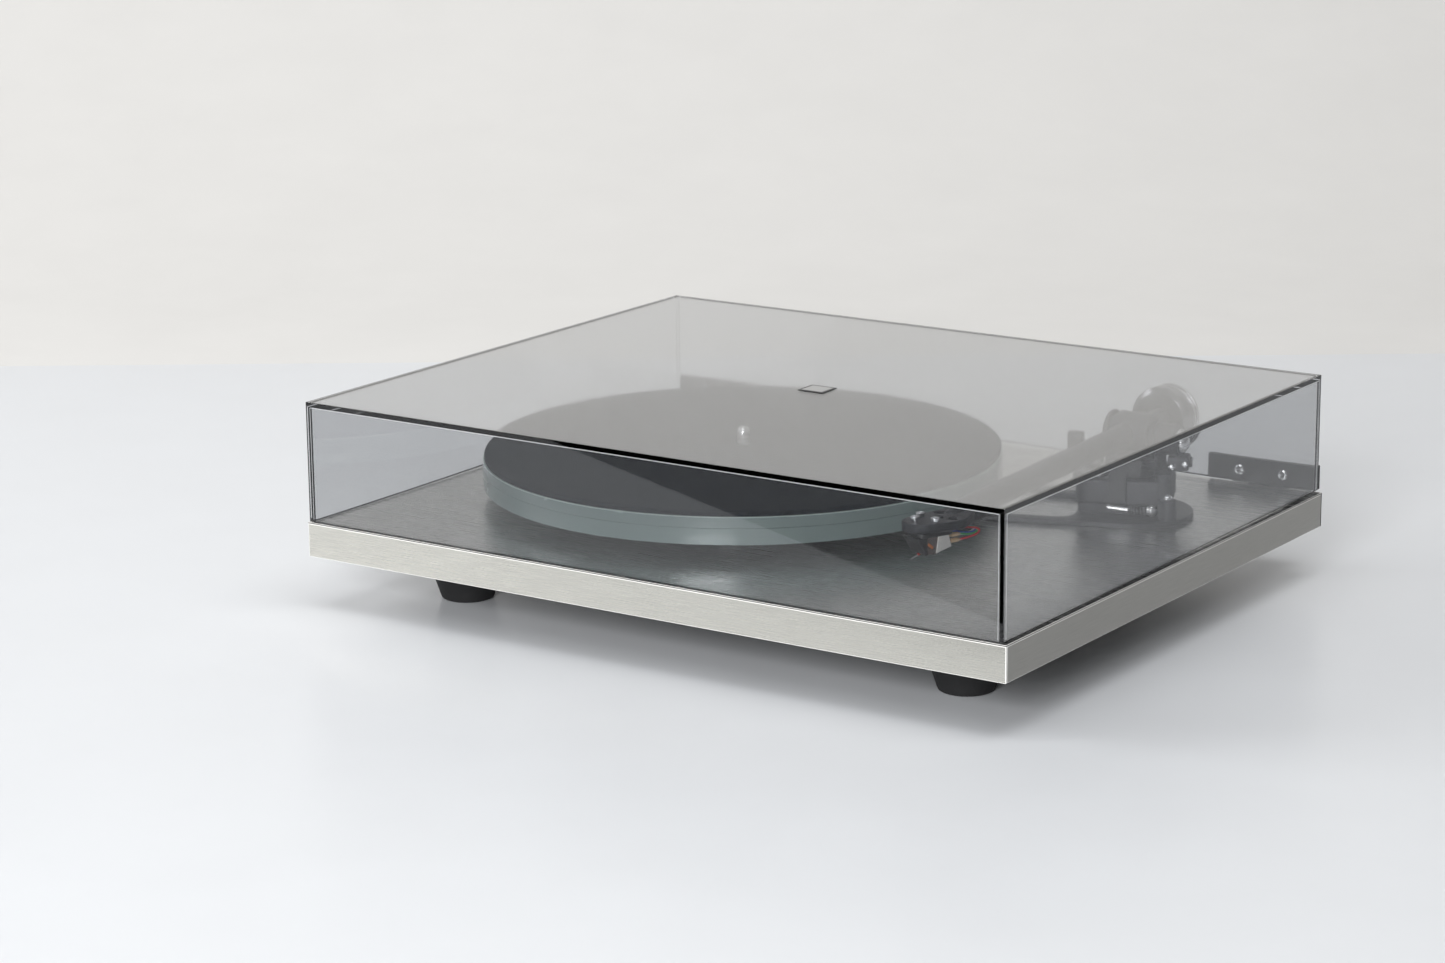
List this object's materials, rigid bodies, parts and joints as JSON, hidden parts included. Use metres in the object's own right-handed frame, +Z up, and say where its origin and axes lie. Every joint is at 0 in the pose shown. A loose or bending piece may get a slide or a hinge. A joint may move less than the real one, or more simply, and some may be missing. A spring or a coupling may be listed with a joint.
{
  "type": "turntable record player",
  "caption": "Flat plinth on rubber feet with a glass platter, belt drive, straight tonearm with cartridge, and a hinged clear dust cover.",
  "frame": {"origin": "on the table, under the middle of the whole object, with the cover closed", "axes": "+X to the listener's right, towards the tonearm; +Y to the hinges at the back; +Z up"},
  "size_m": [0.447, 0.3746, 0.1185],
  "materials": {
    "laminate": "fine straight brushed laminate",
    "core": "dark foam core",
    "underside": "satin",
    "rubber": "matt moulded",
    "brace": "satin black",
    "anodised": "anodised",
    "brass": "machined",
    "steel": "turned",
    "motor_plastic": "moulded",
    "belt": "matt",
    "platter_glass": "frosted edge",
    "mat": "felt",
    "cover_acrylic": "clear smoked, polished",
    "badge": "blank plate with a dark border",
    "hinge_plastic": "moulded",
    "chrome": "polished",
    "arm_paint": "black textured powder coat",
    "arm_plastic": "moulded",
    "weight": "dark polished",
    "cartridge": "dark translucent with a metal side plate",
    "stylus": "bright",
    "lead_red": "insulated wire",
    "lead_green": "insulated wire",
    "lead_blue": "insulated wire",
    "lead_white": "insulated wire"
  },
  "bodies": {
    "deck": {"plinth_top_skin": "laminate", "plinth_core": "core", "plinth_bottom_skin": "underside", "edge_band_front": "laminate", "edge_band_rear": "laminate", "edge_band_left": "laminate", "edge_band_right": "laminate", "foot_front_left": "rubber", "foot_front_right": "rubber", "foot_rear": "rubber", "top_brace": "brace", "bottom_brace": "anodised", "hub_bearing_housing": "brass", "hub_bearing_nut": "steel", "motor_body": "steel", "motor_cover": "motor_plastic", "drive_belt": "belt", "power_socket": "motor_plastic", "cable_gland": "motor_plastic", "hinge_bracket_left": "hinge_plastic", "hinge_bracket_right": "hinge_plastic", "hinge_pin_left": "steel", "hinge_pin_right": "steel", "arm_base": "arm_paint", "arm_base_screw": "chrome", "arm_mount_nut": "steel", "arm_rest": "arm_plastic", "bias_housing": "arm_paint"},
    "cover": {"dust_cover": "cover_acrylic", "cover_badge": "badge", "cover_hinge_left": "hinge_plastic", "cover_hinge_right": "hinge_plastic", "hinge_screw_left_outer": "chrome", "hinge_screw_left_inner": "chrome", "hinge_screw_right_outer": "chrome", "hinge_screw_right_inner": "chrome"},
    "platter": {"sub_platter": "anodised", "platter_ring": "platter_glass", "platter_disc": "platter_glass", "platter_mat": "mat", "spindle": "steel"},
    "pulley": {"motor_pulley": "anodised"},
    "arm_bearing": {"arm_yoke": "arm_paint", "bearing_cap": "chrome"},
    "tonearm": {"arm_tube": "arm_paint", "cartridge_body": "cartridge", "stylus": "stylus", "cartridge_screw_1": "chrome", "cartridge_screw_2": "chrome", "cartridge_screw_3": "chrome", "lead_red": "lead_red", "lead_green": "lead_green", "lead_blue": "lead_blue", "lead_white": "lead_white"},
    "balance_weight": {"counterweight": "weight"},
    "force_dial": {"tracking_dial": "arm_paint"},
    "cueing_lever": {"cue_lever": "chrome"},
    "cueing_platform": {"lift_platform": "arm_plastic"},
    "bias_knob": {"bias_slider": "arm_plastic"}
  },
  "joints": [
    {"name": "cover_hinge", "type": "hinge", "parent": "deck", "child": "cover", "pos_m": [0, 0.18275, 0.0445], "axis": [-1, 0, 0], "range_deg": [0, 68]},
    {"name": "platter_spin", "type": "hinge", "parent": "deck", "child": "platter", "pos_m": [-0.056, -0.00125, 0.0495], "axis": [0, 0, 1], "continuous": true},
    {"name": "pulley_spin", "type": "hinge", "parent": "deck", "child": "pulley", "pos_m": [-0.122, 0.06475, 0.0495], "axis": [0, 0, 1], "continuous": true},
    {"name": "arm_swing", "type": "hinge", "parent": "deck", "child": "arm_bearing", "pos_m": [0.1528, 0.07395, 0.0935], "axis": [0, 0, -1], "range_deg": [0, 57]},
    {"name": "arm_lift", "type": "hinge", "parent": "arm_bearing", "child": "tonearm", "pos_m": [0.1528, 0.07395, 0.0935], "axis": [-1, -0.007, 0], "range_deg": [0, 3]},
    {"name": "force_dial_turn", "type": "hinge", "parent": "arm_bearing", "child": "force_dial", "pos_m": [0.1528, 0.07395, 0.0935], "axis": [-1, -0.007, 0], "range_deg": [0, 270]},
    {"name": "balance_weight_slide", "type": "slide", "parent": "tonearm", "child": "balance_weight", "axis": [-0.0436, 0.999, 0], "range_m": [0, 0.006]},
    {"name": "cueing_lever_turn", "type": "hinge", "parent": "deck", "child": "cueing_lever", "pos_m": [0.17274, 0.05797, 0.0575], "axis": [-0.3535, 0.9354, 0], "range_deg": [0, 60]},
    {"name": "cueing_platform_rise", "type": "slide", "parent": "deck", "child": "cueing_platform", "axis": [0, 0, 1], "range_m": [0, 0.004]},
    {"name": "bias_knob_slide", "type": "slide", "parent": "deck", "child": "bias_knob", "axis": [0.9354, 0.3535, 0], "range_m": [0, 0.003]}
  ],
  "couplings": [
    {"joint": "pulley_spin", "follows": "platter_spin", "ratio": 6.9119},
    {"joint": "cueing_platform_rise", "follows": "cueing_lever_turn", "m_per_rad": 0.0038197}
  ]
}
